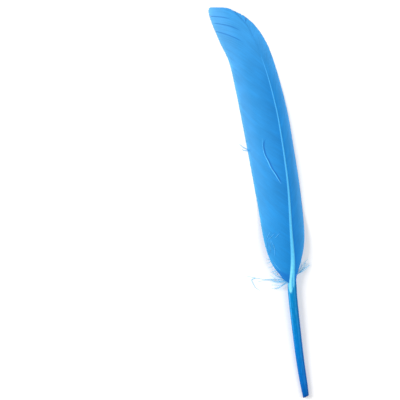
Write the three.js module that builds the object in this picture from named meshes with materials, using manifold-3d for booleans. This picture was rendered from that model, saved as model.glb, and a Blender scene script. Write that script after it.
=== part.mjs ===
// A goose quill feather, dyed blue, lying with its upper side up on a flat surface.
// Millimetres, +Z up. +Y runs from the end of the quill to the tip of the feather, and +X points
// to the narrow vane. The feather grew as one piece, so its shaft, its two vanes and the downy
// barbs at their foot are one closed solid, centred over the origin with its lowest points at
// Z = 0.
import * as THREE from "three";
import { mergeVertices } from "three/addons/utils/BufferGeometryUtils.js";
import Module from "manifold-3d";

const wasm = await Module();
wasm.setup();

// ---- Driving dimensions, in millimetres --------------------------------------------------------

// Centre line of the shaft seen from above, from the end of the quill to the thin tip.
const SHAFT_LINE = [
  [0.0, 0.0], [0.8, 12.3], [2.1, 25.1], [3.4, 36.3], [4.3, 41.9], [6.5, 50.3], [8.5, 62.1],
  [11.2, 78.8], [12.8, 95.8], [13.4, 108.0], [12.6, 125.8], [9.7, 140.0], [6.8, 145.7],
];

// Width and depth of the shaft at stations along it, each a fraction of its length.
const SHAFT_STATIONS = [
  { at: 0.0, width: 2.3, depth: 2.3 },
  { at: 0.04, width: 2.8, depth: 2.55 },
  { at: 0.12, width: 3.1, depth: 3.0 },
  { at: 0.27, width: 3.4, depth: 3.1 },
  { at: 0.29, width: 3.25, depth: 3.0 },
  { at: 0.307, width: 2.8, depth: 2.9 },
  { at: 0.34, width: 2.05, depth: 2.6 },
  { at: 0.38, width: 1.55, depth: 2.3 },
  { at: 0.45, width: 1.1, depth: 2.0 },
  { at: 0.6, width: 0.75, depth: 1.5 },
  { at: 0.85, width: 0.5, depth: 0.9 },
  { at: 1.0, width: 0.3, depth: 0.4 },
];

// Height of the top of the shaft over the surface: a straight fall plus an arch.
const QUILL_TOP = 2.3;
const TIP_TOP = 0.75;
const SHAFT_ARCH = 2.6;

// The quill is cut a little aslant, and its end has the small navel of a grown feather.
const QUILL_SLANT = THREE.MathUtils.degToRad(16);
const NAVEL_SHARE = 0.5;
const NAVEL_DEPTH = 1.4;

// The shallow groove along the underside of the shaft, as a share of the shaft's depth.
const GROOVE_SHARE = 0.15;

// The vanes grow from here to the end of the shaft, as a fraction of its length.
const VANE_FOOT = 0.29;

// Outer edges of the vanes seen from above, from the foot to the tip of the feather. A barb that
// grows at u along the vane ends at u to the power sweep along the edge: the lower the power, the
// further ahead of its root a barb ends.
const WIDE_VANE = {
  side: -1,
  sweep: 0.67,
  edge: [
    [3.0, 43.9], [1.5, 44.9], [0.5, 47.2], [-1.2, 50.9], [-2.2, 58.0], [-1.3, 76.0],
    [-0.3, 99.6], [0.3, 118.7], [0.2, 129.1], [-1.4, 136.6], [-2.5, 142.8], [-3.0, 147.1],
    [-2.8, 149.5], [-2.1, 150.3], [-0.8, 150.1], [2.6, 149.3],
  ],
};
const NARROW_VANE = {
  side: 1,
  sweep: 0.9,
  edge: [
    [6.8, 46.9], [8.5, 49.4], [10.1, 51.3], [12.5, 57.4], [14.9, 72.2], [16.6, 93.0],
    [17.3, 107.0], [16.6, 124.2], [15.4, 132.3], [13.2, 138.6], [10.1, 143.4], [5.9, 147.1],
    [2.8, 149.2],
  ],
};

// The vanes leave the shaft a little below its top and droop to rest their edges on the surface.
const SHAFT_PROUD = 0.3;
const VANE_ROOT_THICKNESS = 0.5;
const VANE_EDGE_THICKNESS = 0.3;
const VANE_HUMP = 0.25;
const VANE_DROOP_POWER = 1.6;
const EDGE_SETTLES_AT = 0.22;
const BARB_BOW = 0.05;

// Bundles of barbs show as low ridges along them, whose grooves notch the edge.
const RIDGES = 40;
const RIDGE_HEIGHT = 0.12;
const EDGE_NOTCH = 0.25;

// Loose downy barbs at the foot of the vanes, in fans. Bearings are in degrees from +X towards +Y.
const DOWNY_RADIUS = 0.17;
const DOWNY_TIP_SHARE = 0.5;
const DOWNY_FOOT_DROP = 1.0;
const DOWNY_FANS = [
  { foot: [4.0, 44.2], count: 6, length: [6.4, 7.4], bearing: [136, 204], bow: 0.12, tipHeight: 1.1 },
  { foot: [4.0, 44.4], count: 1, length: [16.4, 16.4], bearing: [163, 163], bow: 0.08, tipHeight: 0.2 },
  { foot: [5.6, 45.4], count: 4, length: [5.4, 8.0], bearing: [20, 46], bow: -0.1, tipHeight: 0.6 },
];

// ---- Mesh resolution ---------------------------------------------------------------------------

const QUILL_RINGS = 22;
const VANE_RINGS = 2 * RIDGES;
const BARB_STEPS = 6;
const DOWNY_SIDES = 5;
const DOWNY_STEPS = 6;

// Joining the downy barbs leaves slivers along the seams, which are merged up to this size.
const SEAM_TOLERANCE = 0.01;

// ---- Helpers -----------------------------------------------------------------------------------

const { degToRad, lerp, smoothstep } = THREE.MathUtils;

function flatCurve(points) {
  return new THREE.CatmullRomCurve3(points.map(([x, y]) => new THREE.Vector3(x, y, 0)));
}

// Moves every vertex of a closed three.js geometry by place(x, y, z) and returns it as a solid.
// Vertices that end up in one place are merged, so a face may close to nothing.
function bentSolid(geometry, place) {
  const position = geometry.attributes.position;
  for (let i = 0; i < position.count; i += 1) {
    const point = place(position.getX(i), position.getY(i), position.getZ(i));
    position.setXYZ(i, point.x, point.y, point.z);
  }
  geometry.deleteAttribute("normal");
  geometry.deleteAttribute("uv");
  const merged = mergeVertices(geometry, 1e-4);
  const corners = merged.index.array;
  const isOpen = (a, b, c) => a !== b && b !== c && c !== a;
  const triVerts = [];
  for (let i = 0; i < corners.length; i += 3) {
    const triangle = corners.slice(i, i + 3);
    if (isOpen(...triangle)) triVerts.push(...triangle);
  }
  return new wasm.Manifold(new wasm.Mesh({
    numProp: 3,
    vertProperties: new Float32Array(merged.attributes.position.array),
    triVerts: new Uint32Array(triVerts),
  }));
}

// The geometry of a solid, moved so that it stands centred over the origin on Z = 0.
function centredGeometry(solid) {
  const mesh = solid.getMesh();
  const geometry = new THREE.BufferGeometry();
  geometry.setAttribute("position", new THREE.BufferAttribute(mesh.vertProperties, mesh.numProp));
  geometry.setIndex(new THREE.BufferAttribute(mesh.triVerts, 1));
  geometry.computeBoundingBox();
  const { min, max } = geometry.boundingBox;
  geometry.translate(-(min.x + max.x) / 2, -(min.y + max.y) / 2, -min.z);
  geometry.computeVertexNormals();
  return geometry;
}

// ---- Shaft -------------------------------------------------------------------------------------

const shaftCurve = flatCurve(SHAFT_LINE);
const wideEdge = flatCurve(WIDE_VANE.edge);
const narrowEdge = flatCurve(NARROW_VANE.edge);

function shaftSize(t) {
  const next = Math.max(1, SHAFT_STATIONS.findIndex((station) => station.at >= t));
  const a = SHAFT_STATIONS[next - 1];
  const b = SHAFT_STATIONS[next];
  const share = (t - a.at) / (b.at - a.at);
  return { width: lerp(a.width, b.width, share), depth: lerp(a.depth, b.depth, share) };
}

function shaftTop(t) {
  return lerp(QUILL_TOP, TIP_TOP, t) + SHAFT_ARCH * Math.sin(Math.PI * t);
}

// A point of the shaft at t along it. across and up are shares of its half width and half depth.
function shaftPoint(t, across, up) {
  const { width, depth } = shaftSize(t);
  const along = shaftCurve.getTangentAt(t);
  const right = new THREE.Vector3(along.y, -along.x, 0);
  const point = shaftCurve.getPointAt(t).addScaledVector(right, (across * width) / 2);
  point.z = shaftTop(t) + ((up - 1) * depth) / 2;
  if (t === 0) point.addScaledVector(along, (across * width * Math.tan(QUILL_SLANT)) / 2);
  return point;
}

// The point of the shaft's skin at an angle from its top. Where the vanes grow, the lowest point
// is drawn up into the groove.
function shaftSkin(t, degrees) {
  const angle = degToRad(degrees);
  const isGroove = degrees === 180 && t > VANE_FOOT;
  const rise = isGroove ? 2 * GROOVE_SHARE : 0;
  return shaftPoint(t, Math.sin(angle), Math.cos(angle) + rise);
}

// ---- Vanes -------------------------------------------------------------------------------------

function vaneRootHeight(t) {
  return shaftTop(t) - SHAFT_PROUD - VANE_ROOT_THICKNESS / 2;
}

// A point of a vane: u runs from its foot to the tip, out from the shaft (0) along a barb to the
// edge (1), and up is -0.5 on the underside and 0.5 on top.
function vanePoint(vane, u, out, up) {
  const t = lerp(VANE_FOOT, 1, u);
  const isRidge = Math.round(u * VANE_RINGS) % 2 === 1;

  // Seen from above, a barb is a straight line to the edge, bowed a little.
  const edgeCurve = vane === WIDE_VANE ? wideEdge : narrowEdge;
  const root = shaftPoint(t, vane.side, 0).setZ(0);
  const barb = edgeCurve.getPointAt(u ** vane.sweep).sub(root);
  const reach = isRidge ? 1 : 1 - Math.min(EDGE_NOTCH / barb.length(), 0.1);
  const bow = new THREE.Vector3(barb.y, -barb.x, 0).multiplyScalar(vane.side * BARB_BOW);
  const point = root.addScaledVector(barb, out * reach).addScaledVector(bow, 4 * out * (1 - out));

  // Seen from the end, it rises a little from the shaft and droops to the surface.
  const rootHeight = vaneRootHeight(t);
  const settled = smoothstep(u, 0, EDGE_SETTLES_AT);
  const edgeHeight = lerp(rootHeight, VANE_EDGE_THICKNESS / 2, settled);
  const hump = VANE_HUMP * Math.sin(Math.PI * out) * (1 - u);
  const thickness = lerp(VANE_ROOT_THICKNESS, VANE_EDGE_THICKNESS, out);
  const ridge = isRidge && up > 0 ? RIDGE_HEIGHT : 0;
  point.z = lerp(rootHeight, edgeHeight, out ** VANE_DROOP_POWER) + hump + up * thickness + ridge;
  return point;
}

// ---- Shaft and vanes as one skin ---------------------------------------------------------------

// The corners of a cross-section, clockwise from the top of the shaft as seen from the quill.
// Those of a vane run out along its top and back along its underside.
function sectionCorners() {
  const skin = (degrees) => ({ degrees });
  const steps = Array.from({ length: BARB_STEPS }, (_, i) => (i + 1) / BARB_STEPS);
  const side = (vane, up) => steps.map((out) => ({ vane, out, up }));
  return [
    ...[0, 35, 70].map(skin),
    ...side(NARROW_VANE, 0.5),
    ...side(NARROW_VANE, -0.5).reverse(),
    ...[110, 145, 180, 215, 250].map(skin),
    ...side(WIDE_VANE, -0.5),
    ...side(WIDE_VANE, 0.5).reverse(),
    ...[290, 325].map(skin),
  ];
}

// A corner on ring number ring. On the quill the corners of a vane close to a point of its side.
function skinPoint(corner, ring) {
  const isQuill = ring <= QUILL_RINGS;
  const u = (ring - QUILL_RINGS) / VANE_RINGS;
  const t = isQuill ? (VANE_FOOT * ring) / QUILL_RINGS : lerp(VANE_FOOT, 1, u);
  if (corner.vane && !isQuill) return vanePoint(corner.vane, u, corner.out, corner.up);
  return corner.vane ? shaftPoint(t, corner.vane.side, 0) : shaftSkin(t, corner.degrees);
}

// Ring 0 of the cylinder is the rim of the navel, inside the cut end, and the middle of its cap is
// the bottom of the navel. The rings after it run along the feather.
function featherSkin() {
  const corners = sectionCorners();
  const rings = QUILL_RINGS + VANE_RINGS + 1;
  const cylinder = new THREE.CylinderGeometry(1, 1, rings, corners.length, rings);
  const navelBottom = shaftPoint(NAVEL_DEPTH / shaftCurve.getLength(), 0, 0);
  return bentSolid(cylinder, (x, y, z) => {
    const ring = Math.round(y + rings / 2) - 1;
    const isCapMiddle = Math.hypot(x, z) < 0.5;
    if (isCapMiddle) return ring < 0 ? navelBottom : shaftPoint(1, 0, 0);
    const turn = Math.atan2(x, z) / (2 * Math.PI);
    const corner = corners[Math.round((turn + 1) * corners.length) % corners.length];
    if (ring >= 0) return skinPoint(corner, ring);
    return shaftPoint(0, 0, 0).lerp(skinPoint(corner, 0), NAVEL_SHARE);
  });
}

// ---- Downy barbs -------------------------------------------------------------------------------

function downyBarb(foot, length, bearing, bow, tipHeight) {
  const angle = degToRad(bearing);
  const reach = new THREE.Vector3(Math.cos(angle), Math.sin(angle), 0).multiplyScalar(length);
  const aside = new THREE.Vector3(-reach.y, reach.x, 0).multiplyScalar(bow * 2);
  const start = new THREE.Vector3(foot[0], foot[1], shaftTop(VANE_FOOT) - DOWNY_FOOT_DROP);
  const end = start.clone().add(reach).setZ(tipHeight);
  const middle = start.clone().addScaledVector(reach, 0.5).add(aside);
  const curve = new THREE.QuadraticBezierCurve3(start, middle, end);
  const tube = new THREE.CylinderGeometry(DOWNY_TIP_SHARE, 1, 1, DOWNY_SIDES, DOWNY_STEPS);
  return bentSolid(tube, (x, y, z) => {
    const t = y + 0.5;
    const along = curve.getTangent(t);
    const right = new THREE.Vector3(along.y, -along.x, 0).normalize();
    const up = new THREE.Vector3().crossVectors(right, along);
    const centre = curve.getPoint(t);
    return centre.addScaledVector(right, x * DOWNY_RADIUS).addScaledVector(up, z * DOWNY_RADIUS);
  });
}

function downyBarbs() {
  return DOWNY_FANS.flatMap(({ foot, count, length, bearing, bow, tipHeight }) =>
    Array.from({ length: count }, (_, i) => {
      const share = count > 1 ? i / (count - 1) : 0;
      const barbLength = lerp(length[0], length[1], share);
      const barbBearing = lerp(bearing[0], bearing[1], share);
      return downyBarb(foot, barbLength, barbBearing, bow, tipHeight);
    }));
}

// ---- The feather -------------------------------------------------------------------------------

function featherMesh() {
  const grown = downyBarbs().reduce((whole, barb) => whole.add(barb), featherSkin());
  const geometry = centredGeometry(grown.simplify(SEAM_TOLERANCE));
  const material = new THREE.MeshStandardMaterial({ color: 0x3c9de6, roughness: 0.65, metalness: 0 });
  const mesh = new THREE.Mesh(geometry, material);
  mesh.name = "feather";
  return mesh;
}

const feather = new THREE.Group();
feather.add(featherMesh());

export default feather;
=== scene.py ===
# %% [markdown]
# # A goose quill feather, dyed blue
# A feather is a horny shaft with a flat vane on each side. The bare end of the shaft is the quill,
# a clear tube. Where the vanes start the shaft fills with white pith and thins towards the tip.
# Each vane is some hundreds of barbs that hook on to each other side by side, and the lowest barbs
# never hook at all: they stay loose and downy.
#
# The feather lies on its own, so it has one body. It was measured in millimetres, and the scene is
# in metres. First the plain CAD feather comes in as the frame that every piece has to fit.

import bpy
import numpy as np
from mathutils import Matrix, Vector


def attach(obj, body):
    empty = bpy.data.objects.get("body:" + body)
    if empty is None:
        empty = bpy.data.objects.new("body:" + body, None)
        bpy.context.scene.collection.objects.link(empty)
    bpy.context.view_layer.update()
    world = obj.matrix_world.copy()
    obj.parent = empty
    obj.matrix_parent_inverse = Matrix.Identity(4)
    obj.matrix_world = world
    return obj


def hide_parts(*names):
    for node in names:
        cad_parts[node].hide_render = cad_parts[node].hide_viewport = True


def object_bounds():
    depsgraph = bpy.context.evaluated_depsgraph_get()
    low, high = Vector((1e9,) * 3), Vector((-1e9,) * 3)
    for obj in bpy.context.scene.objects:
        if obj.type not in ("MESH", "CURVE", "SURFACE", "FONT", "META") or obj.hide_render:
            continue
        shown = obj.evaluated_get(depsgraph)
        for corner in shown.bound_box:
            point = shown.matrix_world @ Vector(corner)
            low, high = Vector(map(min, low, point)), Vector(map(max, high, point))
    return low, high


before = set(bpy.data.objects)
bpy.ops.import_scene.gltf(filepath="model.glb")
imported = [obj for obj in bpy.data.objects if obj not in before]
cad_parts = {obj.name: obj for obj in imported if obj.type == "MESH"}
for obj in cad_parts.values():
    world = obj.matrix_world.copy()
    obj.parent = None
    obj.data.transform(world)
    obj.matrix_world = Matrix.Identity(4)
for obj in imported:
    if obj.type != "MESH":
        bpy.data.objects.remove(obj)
cad_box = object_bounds()
METRE = 0.001
cad_size = (cad_box[1] - cad_box[0]) / METRE
print("CAD feather, mm:", [round(length, 1) for length in cad_size])

# %% [markdown]
# ## Lines drawn through a few points
# The shaft and the edges of the vanes are smooth lines through a dozen measured points. A
# Catmull-Rom curve passes through all its points, so what was measured stays where it was measured,
# which a B-spline wouldn't promise. Places on a line are then asked for as shares of its length.

# %% Smooth lines
SAMPLES_PER_SPAN = 64
LOOK_AROUND = 0.004


def smooth_line(points):
    """Samples of a curve through points. Between two of them it is a cubic whose end slopes come
    from the neighbours on each side, weighted by the square roots of the distances. Each end gets
    its missing neighbour by mirroring the next point through it."""
    p = np.asarray(points, float)
    p = np.vstack([2 * p[0] - p[1], p, 2 * p[-1] - p[-2]])
    step = np.diff(p, axis=0)
    gap = np.sqrt(np.linalg.norm(step, axis=1))[:, None]
    skipped = (p[2:] - p[:-2]) / (gap[:-1] + gap[1:])
    slope = step[:-1] / gap[:-1] - skipped + step[1:] / gap[1:]
    start, end = p[1:-2, None], p[2:-1, None]
    out, into = (slope[:-1] * gap[1:-1])[:, None], (slope[1:] * gap[1:-1])[:, None]
    s = np.linspace(0, 1, SAMPLES_PER_SPAN, endpoint=False)[None, :, None]
    cubic = start + out * s + (3 * (end - start) - 2 * out - into) * s**2
    cubic = cubic + (2 * (start - end) + out + into) * s**3
    return np.vstack([cubic.reshape(-1, p.shape[1]), p[-2]])


def line_length(line):
    """Sum of the lengths of a line's steps."""
    return np.linalg.norm(np.diff(line, axis=0), axis=1).sum()


def along(line, share):
    """Points at shares of a line's length, read from the running sum of its steps."""
    run = np.append(0, np.cumsum(np.linalg.norm(np.diff(line, axis=0), axis=1)))
    return np.stack([np.interp(share * run[-1], run, axis) for axis in line.T], axis=-1)


def unit(vectors):
    """Vectors divided by their lengths."""
    return vectors / np.linalg.norm(vectors, axis=-1, keepdims=True)


def turned_right(flat):
    """Flat vectors turned by a quarter to the right: y, then less x."""
    return np.stack([flat[..., 1], -flat[..., 0]], axis=-1)


def direction(line, share):
    """Unit direction at shares of a line's length, from the points just before and after."""
    ahead = along(line, np.minimum(share + LOOK_AROUND, 1))
    behind = along(line, np.maximum(share - LOOK_AROUND, 0))
    return unit(ahead - behind)


def smoothstep(x, low, high):
    """0 below low, 1 above high, and between them three squares less two cubes of the way."""
    way = np.clip((x - low) / (high - low), 0, 1)
    return way * way * (3 - 2 * way)


def mixed(a, b, share):
    """The value that is share of the way from a to b."""
    return a + (b - a) * share


shaft_line = smooth_line([
    (0.0, 0.0), (0.8, 12.3), (2.1, 25.1), (3.4, 36.3), (4.3, 41.9), (6.5, 50.3), (8.5, 62.1),
    (11.2, 78.8), (12.8, 95.8), (13.4, 108.0), (12.6, 125.8), (9.7, 140.0), (6.8, 145.7),
])
shaft_length = line_length(shaft_line)
print("shaft length, mm:", round(shaft_length, 1))

# %% [markdown]
# ## The form of the shaft
# From the cut end the quill swells a little, and from the foot of the vanes on it thins quickly and
# then slowly. Width and depth are kept apart because a shaft is deeper than it is wide under the
# vanes. Seen from the side the whole shaft is a low arch that rests on the quill and on the tip.

# %% Shaft measures
shaft_stations = smooth_line([  # share of the length, width, depth
    (0.0, 2.3, 2.3), (0.04, 2.8, 2.55), (0.12, 3.1, 3.0), (0.27, 3.4, 3.1), (0.29, 3.25, 3.0),
    (0.307, 2.8, 2.9), (0.34, 2.05, 2.6), (0.38, 1.55, 2.3), (0.45, 1.1, 2.0), (0.6, 0.75, 1.5),
    (0.85, 0.5, 0.9), (1.0, 0.3, 0.4),
])
QUILL_TOP, TIP_TOP, SHAFT_ARCH = 2.3, 0.75, 2.6
QUILL_SLANT, SLANT_ENDS = np.radians(16), 0.03
VANE_FOOT = 0.29


def shaft_size(t):
    """Width and depth of the shaft at shares t of its length."""
    at, width, depth = shaft_stations.T
    return np.interp(t, at, width), np.interp(t, at, depth)


def shaft_top(t):
    """Height of the shaft's top: a straight fall from quill to tip plus half a sine wave."""
    return mixed(QUILL_TOP, TIP_TOP, t) + SHAFT_ARCH * np.sin(np.pi * t)


def shaft_point(t, across, up):
    """A point of the shaft at t. across and up are shares of its half width and half depth. Close
    to the end of the quill the points slide along it with across, which makes the cut slant."""
    width, depth = shaft_size(t)
    ahead = direction(shaft_line, t)
    right = turned_right(ahead)
    aside = across * width / 2
    slide = aside * np.tan(QUILL_SLANT) * (1 - smoothstep(t, 0, SLANT_ENDS))
    flat = along(shaft_line, t) + right * aside[..., None] + ahead * slide[..., None]
    height = shaft_top(t) + (up - 1) * depth / 2
    return np.concatenate([flat, height[..., None]], axis=-1)


print("quill at its widest, mm:", shaft_stations[:, 1].max().round(1))

# %% [markdown]
# ## The outlines of the vanes
# The left vane is over three times as wide as the right one. Each edge is listed from the foot to
# the tip. A barb ends further ahead than it grows, so a second short list says which share of the
# edge a barb reaches that grows at a given share of the vane.

# %% Vane outlines
WIDE = {
    "name": "wide_vane", "side": -1, "barbs": 270, "seed": 11, "proud": 0.16,
    "edge": smooth_line([
        (3.0, 43.9), (1.5, 44.9), (0.5, 47.2), (-1.2, 50.9), (-2.2, 58.0), (-1.3, 76.0),
        (-0.3, 99.6), (0.3, 118.7), (0.2, 129.1), (-1.4, 136.6), (-2.5, 142.8), (-3.0, 147.1),
        (-2.8, 149.5), (-2.1, 150.3), (-0.8, 150.1), (2.6, 149.3),
    ]),
    "lead": smooth_line([
        (0, 0), (0.03, 0.09), (0.1, 0.2), (0.3, 0.405), (0.5, 0.59), (0.7, 0.775),
        (0.81, 0.868), (0.905, 0.92), (0.96, 0.957), (1, 1),
    ]),
}
NARROW = {
    "name": "narrow_vane", "side": 1, "barbs": 270, "seed": 23, "proud": 0.4,
    "edge": smooth_line([
        (6.8, 46.9), (8.5, 49.4), (10.1, 51.3), (12.5, 57.4), (14.9, 72.2), (16.6, 93.0),
        (17.3, 107.0), (16.6, 124.2), (15.4, 132.3), (13.2, 138.6), (10.1, 143.4), (5.9, 147.1),
        (2.6, 148.9),
    ]),
    "lead": smooth_line([(0, 0), (0.05, 0.08), (0.3, 0.345), (0.6, 0.635), (0.9, 0.91), (1, 1)]),
}
for vane in (WIDE, NARROW):
    print(f"{vane['name']}: edge {line_length(vane['edge']):.1f} mm")

# %% [markdown]
# ## From the drawing to the frame
# The CAD feather is centred over the origin and stands on its lowest point. The same move is found
# here from the high corner of its box, which is where the narrow vane, the tip and the top of the
# arch reach furthest.

# %% Place in the frame
EVERYWHERE = np.linspace(0, 1, 2001)
drawing_high = np.array([
    NARROW["edge"][:, 0].max(),
    WIDE["edge"][:, 1].max(),
    shaft_top(EVERYWHERE).max(),
])
OFFSET = np.array(cad_box[1]) / METRE - drawing_high


def to_frame(points):
    """Millimetres of the drawing as metres of the frame."""
    return (points + OFFSET) * METRE


print("drawing moved by, mm:", OFFSET.round(2))

# %% [markdown]
# ## Meshes from rings
# Everything on a feather is a bent tube: the shaft is a thick one, a downy barb a thin one, and a
# vane is a very flat one that runs the length of the shaft. So one helper turns a list of rings
# into a closed mesh. Faces are worked out as whole arrays of corner numbers, and if the enclosed
# volume comes out negative, all faces are turned to point outwards.

# %% Mesh helpers


def ring_faces(rings, sides):
    """Quads between neighbouring rings: corner, next along, next along and round, next round."""
    ring, side = np.meshgrid(np.arange(rings - 1), np.arange(sides), indexing="ij")
    onward = (side + 1) % sides
    corners = [ring * sides + side, (ring + 1) * sides + side]
    corners += [(ring + 1) * sides + onward, ring * sides + onward]
    return np.stack(corners, axis=-1).reshape(-1, 4)


def pole_faces(ring_start, sides, pole, is_last):
    """Triangles from the ring that starts at ring_start to one pole point."""
    side = np.arange(sides)
    here, onward = ring_start + side, ring_start + (side + 1) % sides
    pair = [onward, here] if not is_last else [here, onward]
    return np.stack([np.full(sides, pole), *pair], axis=-1)


def enclosed_volume(points, faces):
    """Sum over all triangles of a dot (b cross c), divided by six."""
    triangles = [faces[:, [0, 1, 2]]]
    if faces.shape[1] == 4:
        triangles.append(faces[:, [0, 2, 3]])
    a, b, c = points[np.vstack(triangles)].transpose(1, 0, 2)
    return np.einsum("ij,ij->", a, np.cross(b, c)) / 6


def new_piece(name, points, face_groups, measures, finish):
    """A piece of the feather: a smooth mesh in the frame, with a number per point for each measure
    that its finish reads."""
    volume = sum(enclosed_volume(points, faces) for faces in face_groups)
    turned = [faces if volume > 0 else faces[:, ::-1] for faces in face_groups]
    mesh = bpy.data.meshes.new(name)
    mesh.from_pydata(to_frame(points).tolist(), [], sum((f.tolist() for f in turned), []))
    mesh.shade_smooth()
    for label, values in measures.items():
        layer = mesh.attributes.new(label, "FLOAT", "POINT")
        layer.data.foreach_set("value", np.ascontiguousarray(values, np.float32).ravel())
    mesh.materials.append(finish)
    piece = bpy.data.objects.new(name, mesh)
    bpy.context.scene.collection.objects.link(piece)
    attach(piece, "root")
    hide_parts("feather")
    triangles = sum(len(f) * (f.shape[1] - 2) for f in turned)
    print(f"{name}: {len(points)} points, {triangles} triangles")
    return piece


# %% [markdown]
# ## Finishes from nodes
# Dye takes differently on each part of a feather, so colours here follow measures that the meshes
# carry, such as how far out along its barb a point lies. A few small helpers keep the node trees
# short enough to read as sentences: read a measure, mix two colours, add noise.

# %% Node helpers


def node(tree, kind, inputs=None, **settings):
    """A new node with some of its inputs set or linked and its settings changed."""
    made = tree.nodes.new("ShaderNode" + kind)
    for setting, value in settings.items():
        setattr(made, setting, value)
    for socket, value in (inputs or {}).items():
        if isinstance(value, bpy.types.NodeSocket):
            tree.links.new(value, made.inputs[socket])
        else:
            made.inputs[socket].default_value = value
    return made


def measure(tree, name):
    """The number that a mesh carries under this name."""
    return node(tree, "Attribute", attribute_name=name).outputs["Fac"]


def maths(tree, operation, a, b=0.0, c=0.0):
    """One sum on two or three numbers."""
    return node(tree, "Math", {0: a, 1: b, 2: c}, operation=operation).outputs[0]


def vector(tree, x, y, z=0.0):
    """Three numbers as a vector."""
    return node(tree, "CombineXYZ", {0: x, 1: y, 2: z}).outputs[0]


def noise(tree, at, scale, detail=2.0):
    """Smooth random values round 0.5."""
    return node(tree, "TexNoise", {"Vector": at, "Scale": scale, "Detail": detail}).outputs[0]


def stretched(tree, value, low, high, to_low=0.0, to_high=1.0):
    """value taken from low..high to to_low..to_high with a soft start and end."""
    inputs = {0: value, 1: low, 2: high, 3: to_low, 4: to_high}
    return node(tree, "MapRange", inputs, interpolation_type="SMOOTHSTEP").outputs[0]


def linear(srgb):
    """A colour of 0 to 255 steps, as read off a screen, in the linear values that shaders use."""
    c = np.asarray(srgb, float) / 255
    line = np.where(c <= 0.04045, c / 12.92, ((c + 0.055) / 1.055) ** 2.4)
    return (*line.tolist(), 1.0)


def colour_ramp(tree, value, stops):
    """Colours that run through stops of (place, screen colour)."""
    ramp = node(tree, "ValToRGB", {0: value})
    while len(ramp.color_ramp.elements) < len(stops):
        ramp.color_ramp.elements.new(0.5)
    for element, (place, colour) in zip(ramp.color_ramp.elements, stops):
        element.position = place
        element.color = linear(colour)
    return ramp.outputs[0]


def colour_mix(tree, share, a, b, blend="MIX"):
    """Two colours mixed by share."""
    made = node(tree, "Mix", {0: share, 6: a, 7: b}, data_type="RGBA", blend_type=blend)
    return made.outputs[2]


def shaded(tree, colour, pattern, span, dark, light):
    """A colour times a number that goes from dark to light while a pattern crosses its span."""
    return colour_mix(tree, 1.0, colour, stretched(tree, pattern, *span, dark, light), "MULTIPLY")


def bumps(tree, surface, pattern, strength, height):
    """Bumps in a surface that follow a pattern, up to height in metres."""
    bump = node(tree, "Bump", {"Strength": strength, "Distance": height, "Height": pattern})
    tree.links.new(bump.outputs[0], surface.inputs["Normal"])


def new_finish(name, **shader):
    """A material with these values on its shader's own sockets. Returns the material, its node
    tree and its shader."""
    material = bpy.data.materials.new(name)
    material.use_nodes = True
    tree = material.node_tree
    surface = tree.nodes["Principled BSDF"]
    for socket, value in shader.items():
        surface.inputs[socket.replace("_", " ")].default_value = value
    return material, tree, surface


# %% [markdown]
# ## The finish of the shaft
# The quill is clear horn: it takes dye deeply, shines, and shows streaks along its length. Part of
# its shine is painted: a pale highlight line at its left and a fainter one at its right, with
# painted shade on its right flank. The pith behind it is white, so the same dye comes out as a pale
# cyan, painted lighter left of the middle and in shade towards the right flank. The pith ends in
# two rounded lobes, the left one longer and paler, with a groove between them that is painted dark
# as shade. One mesh carries both, because the shaft grew as one tube, and a measure called pith
# says how much of the white shows.

# %% Shaft finish
STREAKS, FLECKS = (14.0, 4.5, 4.0), (90.0, 2.0, 3.0)  # rate along the shaft, scale, detail
HORN_ALONG = 3.3
HORN_COLOURS = [
    (0.0, (6, 66, 140)), (0.025, (2, 92, 176)), (0.12, (0, 104, 190)), (0.4, (0, 122, 204)),
    (0.7, (0, 126, 196)), (1.0, (8, 140, 204)),
]
# Paler horn, used for the painted highlights and for random streaks.
HIGHLIGHT_AND_STREAK_COLOURS = [
    (0.0, (20, 110, 190)), (0.12, (44, 148, 230)), (0.5, (52, 168, 244)), (1.0, (70, 184, 244)),
]
# Pith colours from left to right across the shaft: lighter left of the middle and darker towards
# the right flank, partly the pith's own tone and partly painted shade.
PITH_ACROSS_WITH_SHADE = [
    (0.0, (84, 192, 246)), (0.25, (140, 234, 255)), (0.5, (116, 222, 255)),
    (0.8, (74, 182, 236)), (1.0, (44, 146, 212)),
]
PITH_ALONG = [
    (0.3, (104, 210, 250)), (0.45, (92, 196, 246)), (0.65, (82, 186, 246)),
    (0.78, (78, 182, 246)), (0.86, (70, 170, 240)), (0.95, (62, 160, 232)),
]
# Painted light on the shaft: shade on the horn's right flank and in the pith's groove, and
# highlight lines at the horn's left and right.
FAR_SIDE_SHADE_COLOUR, CREASE_SHADE_COLOUR = (6, 84, 164), (44, 158, 222)
STREAK_WANDER, LEFT_HIGHLIGHT_AT, RIGHT_HIGHLIGHT_AT = 0.3, -0.6, 0.62
# Each of these says between which two values a layer comes in, and from which share to which.
LEFT_HIGHLIGHT, LEFT_HIGHLIGHT_ALONG = (0.2, 0.04), (0.11, 0.23, 0.15, 0.95)
RIGHT_HIGHLIGHT, STREAK_GLOW = (0.2, 0.05, 0.0, 0.3), (0.5, 0.75, 0.0, 0.35)
FAR_SIDE_SHADE, PITH_NARROWS = (0.55, 1.0, 0.0, 0.4), (0.31, 0.37)
FLECK_SHADE = ((0.3, 0.7), 0.93, 1.05)
HORN_ROUGH, PITH_ROUGHER, STREAK_ROUGHER = 0.24, 0.16, 0.12
SHAFT_BUMPS = (0.25, 0.0001)


def shaft_grain(tree, rate, scale, detail):
    """Noise in the section of the shaft that changes along it at a rate of its own."""
    run = maths(tree, "MULTIPLY", measure(tree, "along"), rate)
    at = vector(tree, measure(tree, "across"), measure(tree, "up"), run)
    return noise(tree, at, scale, detail)


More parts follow.
